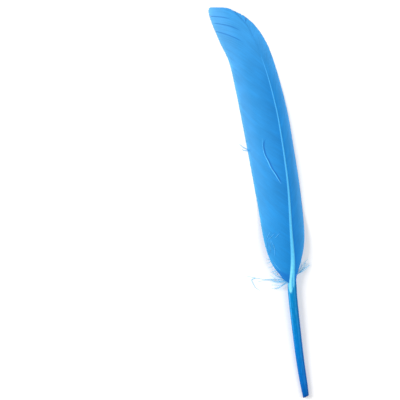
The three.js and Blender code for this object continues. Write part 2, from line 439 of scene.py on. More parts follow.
def shaft_finish():
    """Deep dyed horn and pale pith, mixed by the pith measure, with streaks along the shaft. On the
    horn a painted highlight runs on a wandering line at its left and a fainter one at its right,
    and painted shade darkens its right flank. The pith is painted lighter to the left and darker
    towards the right, and its groove is painted dark as shade."""
    finish, tree, surface = new_finish("dyed_quill", Specular_IOR_Level=0.05)
    t, pith = measure(tree, "along"), measure(tree, "pith")
    across = measure(tree, "across")
    streaks, flecks = shaft_grain(tree, *STREAKS), shaft_grain(tree, *FLECKS)

    up_quill = maths(tree, "MULTIPLY", t, HORN_ALONG)
    horn = colour_ramp(tree, up_quill, HORN_COLOURS)
    highlight_and_streak = colour_ramp(tree, up_quill, HIGHLIGHT_AND_STREAK_COLOURS)
    wander = maths(tree, "MULTIPLY_ADD", streaks, STREAK_WANDER, across)
    # Painted highlights on the horn at its left and right, random paler streaks, and painted shade
    # on its right flank.
    left, right = (
        maths(tree, "ABSOLUTE", maths(tree, "SUBTRACT", wander, middle))
        for middle in (LEFT_HIGHLIGHT_AT, RIGHT_HIGHLIGHT_AT))
    left_share = stretched(tree, t, *LEFT_HIGHLIGHT_ALONG)
    left_highlight = maths(tree, "MULTIPLY", stretched(tree, left, *LEFT_HIGHLIGHT), left_share)
    horn = colour_mix(tree, left_highlight, horn, highlight_and_streak)
    horn = colour_mix(tree, stretched(tree, right, *RIGHT_HIGHLIGHT), horn, highlight_and_streak)
    horn = colour_mix(tree, stretched(tree, streaks, *STREAK_GLOW), horn, highlight_and_streak)
    horn = colour_mix(tree, stretched(tree, wander, *FAR_SIDE_SHADE), horn, linear(FAR_SIDE_SHADE_COLOUR))

    # Across the pith: lighter to the left and darker on the right flank, partly painted shade.
    white = colour_ramp(tree, maths(tree, "MULTIPLY_ADD", across, 0.5, 0.5), PITH_ACROSS_WITH_SHADE)
    line = colour_ramp(tree, t, PITH_ALONG)
    white = colour_mix(tree, stretched(tree, t, *PITH_NARROWS), white, line)
    # The groove between the pith lobes, painted dark as shade.
    white = colour_mix(tree, measure(tree, "crease_and_shade"), white, linear(CREASE_SHADE_COLOUR))

    colour = colour_mix(tree, pith, horn, white)
    colour = shaded(tree, colour, flecks, *FLECK_SHADE)
    tree.links.new(colour, surface.inputs["Base Color"])
    rough = maths(tree, "MULTIPLY_ADD", pith, PITH_ROUGHER, HORN_ROUGH)
    rough = maths(tree, "MULTIPLY_ADD", streaks, STREAK_ROUGHER, rough)
    tree.links.new(rough, surface.inputs["Roughness"])
    bumps(tree, surface, streaks, *SHAFT_BUMPS)
    return finish


shaft_look = shaft_finish()
print(f"{shaft_look.name}: {len(shaft_look.node_tree.nodes)} nodes")

# %% [markdown]
# ## The shaft
# The shaft is a tube of rings. The first rings lie inside the cut end: they are the walls of the
# small navel through which the growing feather was fed. Under the vanes the lowest part of each
# ring is pushed up, which leaves the groove that every flight feather has along its underside.

# %% Shaft mesh
SHAFT_RINGS, SHAFT_SIDES = 620, 36
NAVEL_RINGS = [  # share of the radius, millimetres inside the end
    (0.18, 1.35), (0.3, 1.2), (0.42, 0.6), (0.5, 0.12), (0.56, 0.0), (0.86, 0.0), (0.96, 0.05),
]
NAVEL_DEPTH, FIRST_RING = 1.4, 0.001
GROOVE_RISE, GROOVE_REACH, GROOVE_OVER = 0.5, 0.42, 0.04
RACHIS_SQUARENESS, SQUARE_OVER = 0.72, 0.06
PITH_LOBES = [(-0.38, 39.4, 9.0), (0.28, 41.4, 16.0)]  # middle across, lowest point, roundness
PITH_SOFTNESS, PITH_LATER_UNDER, TURNS_UNDER = 0.5, 2.5, (-0.2, 0.6)
CREASE_AT, CREASE_WIDTH, CREASE_DEPTH = -0.02, 0.12, 0.05
CREASE_STARTS, CREASE_FADES = (40.0, 42.0), (43.5, 49.0)


def pith_share(t, across, up):
    """1 where pith shows. Seen from above each lobe ends on a parabola across the shaft, whose
    lowest point is given in millimetres from the end of the quill. Underneath the pith starts a
    little later."""
    height = t * shaft_length
    ends = [low + roundness * (across - middle) ** 2 for middle, low, roundness in PITH_LOBES]
    edge = np.minimum(*ends) + PITH_LATER_UNDER * smoothstep(-up, *TURNS_UNDER)
    return smoothstep(height - edge, -PITH_SOFTNESS, PITH_SOFTNESS)


def lobe_crease(t, across, up):
    """1 on the line between the two lobes, where the groove dips and is painted dark as shade: a
    bell across the shaft that fades up along it.
    """
    height = t * shaft_length
    fade = smoothstep(height, *CREASE_STARTS) * (1 - smoothstep(height, *CREASE_FADES))
    return np.exp(-((across - CREASE_AT) / CREASE_WIDTH) ** 2) * fade * (up > 0)


def make_shaft():
    """Rings of radius times (sine, cosine) of the turn about the shaft's middle line. Under the
    vanes both are raised to a power below one, which fills out the corners of the section."""
    inside = np.array(NAVEL_RINGS)
    t = np.append(inside[:, 1] / shaft_length, np.linspace(FIRST_RING, 1, SHAFT_RINGS))[:, None]
    radius = np.append(inside[:, 0], np.ones(SHAFT_RINGS))[:, None]
    turn = np.linspace(0, 2 * np.pi, SHAFT_SIDES, endpoint=False)[None, :]
    t, across, up = np.broadcast_arrays(t, np.sin(turn), np.cos(turn))
    power = mixed(1, RACHIS_SQUARENESS, smoothstep(t, VANE_FOOT, VANE_FOOT + SQUARE_OVER))
    across = np.sign(across) * np.abs(across) ** power
    up = np.sign(up) * np.abs(up) ** power
    groove = GROOVE_RISE * np.exp(-(((turn - np.pi) / GROOVE_REACH) ** 2))
    groove = groove * smoothstep(t, VANE_FOOT, VANE_FOOT + GROOVE_OVER)
    # The groove between the lobes: it dips the mesh, and the finish paints it dark as shade.
    crease_and_shade = lobe_crease(t, across, up)
    points = shaft_point(t, across * radius, (up + groove) * radius - CREASE_DEPTH * crease_and_shade)
    ends = shaft_point(np.array([NAVEL_DEPTH / shaft_length, 1.0]), np.zeros(2), np.zeros(2))
    points = np.vstack([points.reshape(-1, 3), ends])
    rings = len(radius)
    first, last = rings * SHAFT_SIDES, rings * SHAFT_SIDES + 1
    quads = ring_faces(rings, SHAFT_SIDES)
    poles = np.vstack([
        pole_faces(0, SHAFT_SIDES, first, False),
        pole_faces((rings - 1) * SHAFT_SIDES, SHAFT_SIDES, last, True),
    ])
    pith = pith_share(t, across, up)
    measures = {
        "along": np.append(t.ravel(), [0, 1]), "across": np.append(across.ravel(), [0, 0]),
        "up": np.append(up.ravel(), [0, 0]), "pith": np.append(pith.ravel(), [0, 1]),
        "crease_and_shade": np.append(crease_and_shade.ravel(), [0, 0]),
    }
    return new_piece("shaft", points, [quads, poles], measures, shaft_look)


make_shaft()

# %% [markdown]
# ## The finish of the vanes
# Hooked barbs make a silky sheet. Seen close it has a fine stripe for each barb, and every few
# barbs a band that took a little more dye. The colour is deepest beside the shaft and palest at
# the thin edges and the tip: partly the dye, and partly painted shade in the valley by the shaft
# and painted light on the thin edges. The split lines, the very foot and a line beside the long
# loose barb are painted dark as shade. A faint sheen does what the thousands of tiny barbules do
# to light.

# %% Vane finish
LONG_BARB = [  # the loose barb on the wide vane, from its root to its tip
    (8.8, 79.8), (7.4, 83.9), (6.4, 86.7), (5.9, 89.2), (5.2, 92.3), (5.3, 95.2), (5.8, 98.1),
]
# A dark line painted on the vane beside the long loose barb, as the shade of the slit that it left.
SLIT_SHADE_ASIDE, SLIT_SHADE_WIDTH = 0.00045, 0.0004  # metres
SLIT_SHADE_CORE, SLIT_SHADE_FADES = 0.3, 0.12  # shares of its width and of its length
# Colours from the shaft out to the edge: the dye, with painted shade beside the shaft and painted
# light on the thin edges.
VANE_DYE_AND_SHADE = {  # places from the shaft out to the edge; colours at the foot, middle and tip
    "wide_vane": ((0.0, 0.55, 0.9, 1.0), [
        [(12, 128, 202), (40, 152, 228), (60, 164, 234), (80, 186, 244)],
        [(26, 132, 208), (52, 153, 225), (78, 168, 236), (104, 192, 246)],
        [(60, 160, 232), (66, 163, 234), (90, 176, 242), (106, 190, 246)],
    ]),
    "narrow_vane": ((0.0, 0.4, 0.75, 1.0), [
        [(8, 116, 194), (28, 134, 208), (60, 156, 224), (80, 172, 238)],
        [(16, 128, 204), (44, 146, 220), (66, 164, 240), (72, 178, 254)],
        [(60, 160, 232), (60, 158, 230), (62, 160, 232), (66, 164, 236)],
    ]),
}
FOOT_TO_MIDDLE, MIDDLE_TO_TIP = (0.0, 0.45), (0.66, 0.95)
# The very foot of each vane is painted darker, as shade below the lowest barbs.
FOOT_SHADE_COLOUR, FOOT_SHADE_LEAN, FOOT_SHADE = (14, 106, 196), 0.012, (0.026, 0.036, 0.6, 0.0)
SHADOW_COLOUR, SPLIT_SHADOW, SLIT_SHADOW = (12, 96, 184), 0.5, 0.65
# How fast a grain changes out along a barb and from barb to barb, then its scale and detail.
STRIPES, BANDS, HAIRS = (3.0, 1.0, 0.9, 2.0), (1.2, 0.11, 1.0, 3.0), (120.0, 1.0, 1.0, 2.0)
BLOTCHES = (90.0, 3.0)
BAND_SHADE, BLOTCH_SHADE = ((0.25, 0.75), 0.94, 1.06), ((0.3, 0.7), 0.95, 1.05)
VANE_ROUGH, VANE_BUMPS = (0.3, 0.7, 0.5, 0.66), (0.2, 0.00005)


def slit_shade(tree):
    """1 on a line that keeps SLIT_SHADE_ASIDE to the right of the long loose barb, where the vane
    is painted dark as the shade of its slit. A curve node turns the height of a point in the plan
    into the place of the barb across it."""
    x, y = to_frame(np.column_stack([LONG_BARB, np.zeros(len(LONG_BARB))])).T[:2]
    place = node(tree, "SeparateXYZ", {0: node(tree, "TexCoord").outputs["Object"]})
    share = node(tree, "MapRange", {0: place.outputs[1], 1: y[0], 2: y[-1]}).outputs[0]
    curve = node(tree, "FloatCurve", {"Value": share})
    line = curve.mapping.curves[0].points
    for at, across in zip((y - y[0]) / np.ptp(y), (x - x.min()) / np.ptp(x)):
        line.new(at, across)
    line.remove(line[0])
    line.remove(line[len(line) - 1])
    curve.mapping.update()
    barb = maths(tree, "MULTIPLY_ADD", curve.outputs[0], np.ptp(x), x.min() + SLIT_SHADE_ASIDE)
    gap = maths(tree, "ABSOLUTE", maths(tree, "SUBTRACT", place.outputs[0], barb))
    near = stretched(tree, gap, SLIT_SHADE_WIDTH, SLIT_SHADE_WIDTH * SLIT_SHADE_CORE)
    inside = maths(tree, "PINGPONG", share, 0.5)
    return maths(tree, "MULTIPLY", near, stretched(tree, inside, 0.0, SLIT_SHADE_FADES))


def barb_grain(tree, run, rate, scale, detail):
    """Noise that changes at one rate out along the barbs and at another from barb to barb."""
    out = maths(tree, "MULTIPLY", measure(tree, "out"), run)
    barb = maths(tree, "MULTIPLY", measure(tree, "barb"), rate)
    return noise(tree, vector(tree, out, barb), scale, detail)


def vane_finish(vane):
    """Colours run out along the barbs and are lighter towards the tip; stripes follow the barbs.
    Painted shade darkens the colours beside the shaft, at the very foot, on the split lines and
    beside the loose barb, and painted light brightens the thin edges.
    """
    finish, tree, surface = new_finish(
        "dyed_" + vane["name"], Sheen_Weight=0.06, Sheen_Roughness=0.4,
        Sheen_Tint=(0.3, 0.7, 1.0, 1.0), Specular_IOR_Level=0.16)
    out, t = measure(tree, "out"), measure(tree, "along")
    stripes, bands, hairs = (barb_grain(tree, *grain) for grain in (STRIPES, BANDS, HAIRS))
    blotches = noise(tree, node(tree, "TexCoord").outputs["Object"], *BLOTCHES)

    # Dye with painted shade beside the shaft and painted light at the edges.
    places, rows = VANE_DYE_AND_SHADE[vane["name"]]
    foot, middle, tip = (colour_ramp(tree, out, list(zip(places, row))) for row in rows)
    colour = colour_mix(tree, stretched(tree, t, *FOOT_TO_MIDDLE), foot, middle)
    colour = colour_mix(tree, stretched(tree, t, *MIDDLE_TO_TIP), colour, tip)
    # Painted shade at the very foot of the vane.
    foot_shade = stretched(tree, maths(tree, "MULTIPLY_ADD", out, FOOT_SHADE_LEAN, t), *FOOT_SHADE)
    colour = colour_mix(tree, foot_shade, colour, linear(FOOT_SHADE_COLOUR))
    colour = shaded(tree, colour, stripes, *BAND_SHADE)
    colour = shaded(tree, colour, bands, *BAND_SHADE)
    colour = shaded(tree, colour, blotches, *BLOTCH_SHADE)
    shadow = maths(tree, "MULTIPLY", measure(tree, "crease_and_shade"), SPLIT_SHADOW)
    if vane is WIDE:
        # The painted shade beside the loose barb.
        slit_shadow_share = maths(tree, "MULTIPLY", slit_shade(tree), SLIT_SHADOW)
        shadow = maths(tree, "MAXIMUM", shadow, slit_shadow_share)
    colour = colour_mix(tree, shadow, colour, linear(SHADOW_COLOUR))
    tree.links.new(colour, surface.inputs["Base Color"])
    tree.links.new(stretched(tree, bands, *VANE_ROUGH), surface.inputs["Roughness"])
    bumps(tree, surface, hairs, *VANE_BUMPS)
    print(f"{finish.name}: {len(tree.nodes)} nodes")
    return finish


# %% [markdown]
# ## The vanes
# A vane is one sheet with a top and an underside. It grows from the sides of the shaft, rises in a
# small hump and droops to the surface. Near the tip, where the shaft is thin, the two sheets close
# over it. Where each barb grows, how it is bowed and how high it lies are worked out by a function
# each, and the mesh, the loose barbs and the down all ask them.

# %% Vane measures
ROWS_PER_BARB = 4
FOOT_ACROSS, TIP_ACROSS = 0.75, -1.0
FOOT_BOW, TIP_BOW, BOW_TURNS = 0.05, -0.11, (0.6, 0.92)
VANES_CLOSE, CLOSED_OVER = (0.74, 0.88), 0.04
FOOT_PROUD, TIP_PROUD, PROUD_POWER = 0.4, 0.0, 1.5
FOOT_ROOT, TIP_ROOT, EDGE_THICKNESS = 0.36, 0.16, 0.12
VANE_HUMP, DROOP_POWER, EDGE_SETTLES_AT = 0.25, 1.6, 0.22
BARB_RELIEF_TOP, BARB_RELIEF_UNDER = 0.03, 0.06
FLOOR_GAP = OFFSET[2]


def barb_places(vane):
    """Barb number of each row and the place along the vane where it grows. Rows are spread so that
    the gaps between barbs, averaged over root and edge, are all equal."""
    number = np.arange(vane["barbs"] * ROWS_PER_BARB + 1) / ROWS_PER_BARB
    lead_at, lead_to = vane["lead"].T
    spread = (EVERYWHERE + np.interp(EVERYWHERE, lead_at, lead_to)) / 2
    return number, np.interp(number / vane["barbs"], spread, EVERYWHERE)


def closed(place):
    """0 where the shaft lies open between the vanes, 1 towards the tip where they close over it."""
    return smoothstep(place, *VANES_CLOSE)


def barb_plan(vane, place, out):
    """Points of barbs seen from above. A barb is a straight line from inside the shaft to its place
    on the edge, bowed like half a sine wave: forwards at the tip, backwards lower down. Towards the
    tip the roots move in until the two vanes overlap a little over the shaft."""
    t = mixed(VANE_FOOT, 1, place)
    lead_at, lead_to = vane["lead"].T
    across = vane["side"] * mixed(FOOT_ACROSS, TIP_ACROSS, closed(place))
    root = shaft_point(t, across, np.zeros_like(t))[..., :2]
    barb = along(vane["edge"], np.interp(place, lead_at, lead_to)) - root
    bow = mixed(FOOT_BOW, TIP_BOW, smoothstep(place, *BOW_TURNS)) * vane["side"]
    aside = turned_right(barb) * bow[..., None]
    return root + barb * out[..., None] + aside * np.sin(np.pi * out)[..., None]


def vane_thickness(place, out):
    """Thickness of a vane. It thins from its root to its edge and, at the root, towards the tip."""
    return mixed(mixed(FOOT_ROOT, TIP_ROOT, place**2), EDGE_THICKNESS, np.clip(out, 0, 1))


def vane_height(place, out):
    """Middle height of a vane. The top of its root lies a little under that of the shaft, and a
    little over it where the vanes have closed. From there it rises by half a sine wave, which is
    highest at the foot, and droops with a power of out. At the foot the edge is level with the
    root, and a little further on it rests on the surface."""
    t = mixed(VANE_FOOT, 1, place)
    proud = mixed(mixed(FOOT_PROUD, TIP_PROUD, place**PROUD_POWER), -CLOSED_OVER, closed(place))
    root = shaft_top(t) - proud - vane_thickness(place, 0) / 2
    rest = EDGE_THICKNESS / 2 + BARB_RELIEF_UNDER - FLOOR_GAP
    edge = mixed(root, rest, smoothstep(place, 0, EDGE_SETTLES_AT))
    hump = VANE_HUMP * np.sin(np.pi * np.clip(out, 0, 1)) * (1 - place)
    return mixed(root, edge, np.clip(out, 0, 1) ** DROOP_POWER) + hump


root_heights = vane_height(np.array([0.0, 1.0]), np.zeros(2))
print("height of a vane's root at foot and tip, mm:", root_heights.round(2))

# %% [markdown]
# ## Barb tips and splits
# The rows of a vane follow the barbs, four rows to a barb: a valley, a flank, a ridge and a flank.
# At the edge the valleys stop short of the ridges, so every barb ends in a point of its own. Where
# barbs have come unhooked one valley stops much earlier, and the barbs on the tip side of it stand
# a little higher, as they do on a feather that has been handled. The splits are listed one by one.

# %% Barb tips and splits
TIP_NOTCH, NOTCH_LEAST, NOTCH_SPREAD, FLANK_DEPTH = 0.2, 0.7, 0.6, 0.4
TIP_RAGGED, FOOT_RAGGED, RAGGED_UP_TO = 0.06, 2.2, 0.09
# Each split's line is painted dark as shade, and the barbs on its tip side are lifted.
SPLITS = {  # place along the vane, first and last share of the barb, step and gap in mm
    "wide_vane": [
        (0.915, 0.5, 1.0, 0.1, 0.8), (0.875, 0.35, 0.9, 0.1, 0), (0.82, 0.42, 1.0, 0.1, 0.6),
        (0.4, 0.9, 1.0, 0.05, 0.5),
    ],
    "narrow_vane": [
        (0.905, 0.75, 1.0, 0.15, 1.1), (0.58, 0.8, 1.0, 0.1, 0.9), (0.33, 0.85, 1.0, 0.1, 0.7),
    ],
}
SPLIT_STARTS_OVER, SPLIT_ENDS_OVER = 0.15, 0.1  # shares of the barb
SPLIT_LINE_AT, SPLIT_LINE_WIDTH, LIFT_DIES_OVER = -0.1, 0.7, 8  # barbs


def barb_reach(vane, number, place, rng):
    """Share of its length that each row reaches: a ridge a little more or less than 1, a valley
    shorter by the notch between two barb tips, and by the gap where the vane is split. Notches and
    unevenness grow towards the foot, where barbs hook badly."""
    barb = np.minimum(number.astype(int), vane["barbs"] - 1)
    phase = number % 1
    length = np.linalg.norm(
        barb_plan(vane, place, np.ones_like(place)) - barb_plan(vane, place, np.zeros_like(place)),
        axis=-1)
    loose = 1 + FOOT_RAGGED * (1 - smoothstep(place, 0.0, RAGGED_UP_TO))
    uneven_notch = NOTCH_LEAST + NOTCH_SPREAD * rng.random(vane["barbs"])
    notch = TIP_NOTCH * uneven_notch[barb] * loose
    ragged = TIP_RAGGED * rng.normal(size=vane["barbs"])[barb] * loose
    depth = np.select([phase == 0, phase != 0.5], [1.0, FLANK_DEPTH], 0.0)
    short = notch * depth - ragged * (phase != 0)
    for where, *_, gap in SPLITS[vane["name"]]:
        short = short + gap * (number == np.round(np.interp(where, place, number)))
    return 1 + (vane["proud"] - short) / length, length


def split_shape(vane, number, place, out):
    """For all splits together: how dark their line is painted as shade, a bell across the barbs,
    and how far the barbs on the tip side of them are lifted, which dies out with each further barb."""
    dark, lift = np.zeros_like(out), np.zeros_like(out)
    for where, start, end, step, _ in SPLITS[vane["name"]]:
        middle = np.round(np.interp(where, place, number))
        beyond = (number - middle)[:, None]
        opens = smoothstep(out, start, start + SPLIT_STARTS_OVER)
        reach = opens * (1 - smoothstep(out, end, end + SPLIT_ENDS_OVER))
        # The split's line, painted dark as shade.
        dark += np.exp(-((beyond - SPLIT_LINE_AT) / SPLIT_LINE_WIDTH) ** 2) * reach
        lift += step * reach * (beyond > 0) * np.exp(-np.abs(beyond) / LIFT_DIES_OVER)
    return np.clip(dark, 0, 1), lift


print("splits:", {name: len(splits) for name, splits in SPLITS.items()})

# %% [markdown]
# ## The mesh of a vane
# Each row becomes one flat ring, out along the top and back along the underside. The helper that
# joins rings then makes the sheet, and only the first and the last row need a lid. Each barb could
# be a mesh of its own, but a single sheet has fewer points and no gaps between barbs. Low swells,
# some a few barbs wide and some a dozen, keep it from looking pressed.

# %% Vane mesh
STEPS, FIRST_STEP, STEP_POWER = 22, 0.004, 0.85
RIDGE_RISES = (0.05, 0.2)
SWELLS = [(3, 0.02), (12, 0.05)]  # width in barbs, height in mm
SWELL_POWER, EDGE_THINS_BY, EDGE_POWER = 0.7, 0.6, 12


def uneven(rng, count, width):
    """Random heights for count barbs, smoothed over width neighbours, with a spread of about 1."""
    raw = rng.normal(size=count + 6 * width)
    bell = np.exp(-np.linspace(-2, 2, 4 * width + 1) ** 2)
    smooth = np.convolve(raw, bell, mode="same")[3 * width:3 * width + count]
    return smooth / np.sqrt((bell**2).sum())


def make_vane(vane):
    """Rows of barbs as flat rings: out along the top and back along the underside. The first step
    is very short, so that the rounded shading of the root edge stays hidden at the shaft."""
    rng = np.random.default_rng(vane["seed"])
    number, place = barb_places(vane)
    reach, length = barb_reach(vane, number, place, rng)
    step = np.append(0, np.linspace(FIRST_STEP, 1, STEPS - 1))[None, :] ** STEP_POWER
    out = reach[:, None] * step
    place = np.broadcast_to(place[:, None], out.shape)
    plan = barb_plan(vane, place, out)

    ridge = np.sin(np.pi * (number % 1))[:, None] * smoothstep(out, *RIDGE_RISES)
    dark, lift = split_shape(vane, number, place[:, 0], out)
    swell = np.zeros_like(number)
    for width, height in SWELLS:
        heights = uneven(rng, vane["barbs"], width)
        swell = swell + np.interp(number, np.arange(vane["barbs"]), heights) * height
    wave = np.abs(swell)[:, None] * np.sin(np.pi * np.clip(out, 0, 1)) ** SWELL_POWER
    middle = vane_height(place, out) + wave + lift
    thick = vane_thickness(place, out) * (1 - EDGE_THINS_BY * step**EDGE_POWER)
    top = np.dstack([plan, middle + thick / 2 + ridge * BARB_RELIEF_TOP])
    under = np.dstack([plan, middle - thick / 2 - ridge * BARB_RELIEF_UNDER])
    rings = np.concatenate([top, under[:, ::-1]], axis=1)

    rows, sides = rings.shape[:2]
    quads = ring_faces(rows, sides)
    across = np.arange(STEPS - 1)
    cap = np.stack([across, across + 1, sides - 2 - across, sides - 1 - across], axis=-1)
    quads = np.vstack([quads, cap, cap[:, ::-1] + (rows - 1) * sides])

    def both(values):
        """The same number for the two sides of the sheet."""
        return np.concatenate([values, values[:, ::-1]], axis=1)

    measures = {
        "out": both(out), "along": both(place), "crease_and_shade": both(dark),
        "barb": both(np.broadcast_to(number[:, None], out.shape)),
    }
    points = rings.reshape(-1, 3)
    new_piece(vane["name"], points, [quads], measures, vane_finish(vane))
    print(f"  barbs {length.min():.1f} to {length.max():.1f} mm long")


make_vane(WIDE)
make_vane(NARROW)

# %% [markdown]
# ## Strands
# Some barbs aren't part of the sheet. They are thin tubes along a line of their own. Many are made
# at once: their middle lines are one array, and so are their rings.

# %% Strand helpers


def tubes(paths, radius, sides):
    """Closed tubes round many paths of equal point count. paths is strands by points by 3, and
    radius strands by points. The two directions across a path are level and square to it."""
    ahead = unit(np.gradient(paths, axis=1))
    level = np.cross(ahead, [0.0, 0.0, 1.0])
    level = level / np.maximum(np.linalg.norm(level, axis=-1, keepdims=True), 1e-6)
    rise = np.cross(level, ahead)
    turn = np.linspace(0, 2 * np.pi, sides, endpoint=False)
    spoke = level[:, :, None] * np.cos(turn)[:, None] + rise[:, :, None] * np.sin(turn)[:, None]
    rings = paths[:, :, None] + spoke * radius[:, :, None, None]
    strands, count = paths.shape[:2]
    poles = paths[:, [0, -1]]
    points = np.concatenate([rings.reshape(strands, -1, 3), poles], axis=1)
    shift = np.arange(strands)[:, None, None] * (count * sides + 2)
    caps = np.vstack([
        pole_faces(0, sides, count * sides, False),
        pole_faces((count - 1) * sides, sides, count * sides + 1, True),
    ])
    quads = (ring_faces(count, sides) + shift).reshape(-1, 4)
    return points.reshape(-1, 3), quads, (caps + shift).reshape(-1, 3)


def tube_measure(values, sides):
    """Numbers given per path point, repeated for its ring, with those of the ends for the poles."""
    ringed = np.repeat(values, sides, axis=1)
    return np.concatenate([ringed, values[:, [0, -1]]], axis=1).ravel()


# Paler than the dye on the vanes: the light that shines through thin barbs is painted in.
DOWN_COLOURS = [(104, 200, 252), (126, 212, 255), (160, 226, 255)]  # at root, middle and tip
LOOSE_COLOURS = [(84, 186, 248), (94, 196, 254), (84, 188, 250)]
PATCHES, PATCH_SHADE, STRAND_BUMPS = (700.0, 2.0), ((0.3, 0.7), 0.9, 1.1), (0.3, 0.00003)


def strand_finish(name, colours):
    """Thin barbs let light through, so the same dye looks paler on them: that light is painted in
    as paler colours. The three colours run from root to tip."""
    finish, tree, surface = new_finish(name, Roughness=0.6, Specular_IOR_Level=0.1)
    tip = measure(tree, "out")
    patch = noise(tree, node(tree, "TexCoord").outputs["Object"], *PATCHES)
    colour = colour_ramp(tree, tip, list(zip((0.0, 0.5, 1.0), colours)))
    colour = shaded(tree, colour, patch, *PATCH_SHADE)
    tree.links.new(colour, surface.inputs["Base Color"])
    bumps(tree, surface, patch, *STRAND_BUMPS)
    print(f"{name}: {len(tree.nodes)} nodes")
    return finish


down_look = strand_finish("dyed_down", DOWN_COLOURS)
loose_look = strand_finish("dyed_loose_barb", LOOSE_COLOURS)

# %% [markdown]
# ## Barbules
# Each barb carries two rows of barbules, finer than a human hair. On a loose barb they have nothing
# to hook to and stand out at its sides. Hair particles could draw them, but they wouldn't survive
# the export, so every barbule is a thin three-sided tube, made in one array with all the others.

# %% Barbules
BARBULE_POINTS, BARBULE_SIDES, HAIR_RADIUS = 4, 3, 0.02
BARBULES_ALONG, TIP_SHORTER, TIP_THINNER = (0.06, 0.99), 0.5, 0.6
BARBULE_LENGTHS, BARBULE_LEAN, BARBULE_RISE = (0.45, 1.25), 0.28, 0.22
FORWARD, OUTWARD = (0.5, 0.35), (0.85, 0.25)


def barbules(barbs, lengths, gap, radius, rng):
    """Two rows of barbules on each barb, gap apart, and of the length given for the barb. Each
    leaves the barb at some sixty degrees, bends towards its tip and wanders up or down a little:
    with s from 0 to 1 it goes forwards and outwards by sums of s and s squared, and up by s."""
    paths = []
    for barb, length in zip(barbs, np.broadcast_to(lengths, len(barbs))):
        at = along(barb, np.linspace(*BARBULES_ALONG, int(line_length(barb) / gap)))
        share = np.linspace(0, 1, len(at))[:, None]
        ahead = unit(np.gradient(at, axis=0))
        right = np.cross(ahead, [0.0, 0.0, 1.0])
        for side in (-1, 1):
            s = np.linspace(0, 1, BARBULE_POINTS)
            size = length * rng.uniform(*BARBULE_LENGTHS, (len(at), 1))
            size = size * (1 - TIP_SHORTER * share**2)
            lean = rng.normal(1, BARBULE_LEAN, (len(at), 1))
            forward = size * (FORWARD[0] * s * lean + FORWARD[1] * s**2)
            outward = size * (OUTWARD[0] * s - OUTWARD[1] * s**2 * lean) * side
            rise = size * rng.normal(0, BARBULE_RISE, (len(at), 1)) * s
            aside = right[:, None] * outward[..., None]
            path = at[:, None] + ahead[:, None] * forward[..., None] + aside
            path[..., 2] += rise
            paths.append(path)
    paths = np.concatenate(paths)
    share = np.tile(np.linspace(0, 1, BARBULE_POINTS), (len(paths), 1))
    points, quads, caps = tubes(paths, radius * (1 - TIP_THINNER * share), BARBULE_SIDES)
    return points, quads, caps, tube_measure(0.5 + share / 2, BARBULE_SIDES)


def strand_piece(name, finish, barbs, radii, sides, hair):
    """Barbs and their barbules as one piece. radii is one radius per path point, and hair the
    lengths, gap and radius of the barbules with their random numbers."""
    share = np.tile(np.linspace(0, 1, barbs.shape[1]), (len(barbs), 1))
    points, quads, caps = tubes(barbs, radii, sides)
    hair_points, hair_quads, hair_caps, hair_out = barbules(barbs, *hair)
    shift = len(points)
    return new_piece(
        name, np.vstack([points, hair_points]),
        [np.vstack([quads, hair_quads + shift]), np.vstack([caps, hair_caps + shift])],
        {"out": np.append(tube_measure(share, sides), hair_out)}, finish)


# %% [markdown]
# ## Loose barbs on the wide vane
# One long barb has sprung out of the sheet half way up and lies on it in a shallow S, beside the
# slit that it left, which the vane's finish paints as a dark line of shade. Near the foot a few
# short ones lie on the sheet, and half way up two stick out at its left edge. All take their
# height from the vane under them, so they don't float over it.

# %% Loose barbs
LOOSE_BARBS = [  # points seen from above, lift of the middle, radius
    (LONG_BARB, 0.1, 0.23),
    ([(0.6, 94.6), (-0.55, 95.3), (-2.1, 96.7), (-2.9, 97.8)], 0.25, 0.1),
    ([(0.6, 94.4), (-0.65, 94.8), (-1.9, 95.2), (-2.5, 95.8)], 0.2, 0.09),
    ([(-1.4, 60.6), (-0.5, 61.8), (0.7, 63.2)], 0.1, 0.11),
    ([(-0.5, 60.6), (0.9, 61.5), (2.5, 62.5)], 0.1, 0.11),
    ([(1.9, 60.6), (2.9, 61.2), (4.1, 62.1)], 0.08, 0.11),
    ([(0.4, 54.0), (0.9, 57.4), (0.1, 60.6)], 0.06, 0.1),
    ([(-1.0, 60.2), (-1.7, 58.3), (-1.8, 56.4), (-1.3, 54.6)], 0.06, 0.1),
    ([(0.7, 60.1), (-0.3, 58.8), (-0.6, 56.7), (-1.3, 55.5)], 0.05, 0.085),
    ([(-0.7, 52.8), (-0.2, 51.2), (0.5, 49.7), (1.5, 48.0)], 0.05, 0.09),
]
LOOSE_POINTS, LOOSE_SIDES, LOOSE_SEED = 60, 8, 3
LOOSE_HAIR, LOOSE_HAIR_GAP = 0.38, 0.12
LOOSE_ABOVE, ARCH_POWER, SMOOTHED_OVER = 0.06, 0.5, 9
ROOT_TAPER, TIP_TAPER, LOOSE_TIP_THINNER = (-0.1, 0.2), (0.5, 1.05), 0.75
TOP_GRID = (500, 60)


def vane_top_at(vane, points):
    """Height of the top of a vane under points seen from above: that of the nearest point of a
    grid over the vane."""
    place, out = np.meshgrid(*(np.linspace(0, 1, count) for count in TOP_GRID), indexing="ij")
    plan = barb_plan(vane, place, out).reshape(-1, 2)
    top = (vane_height(place, out) + vane_thickness(place, out) / 2).ravel()
    gap = np.linalg.norm(points[:, None] - plan[None], axis=-1)
    return top[gap.argmin(axis=1)]


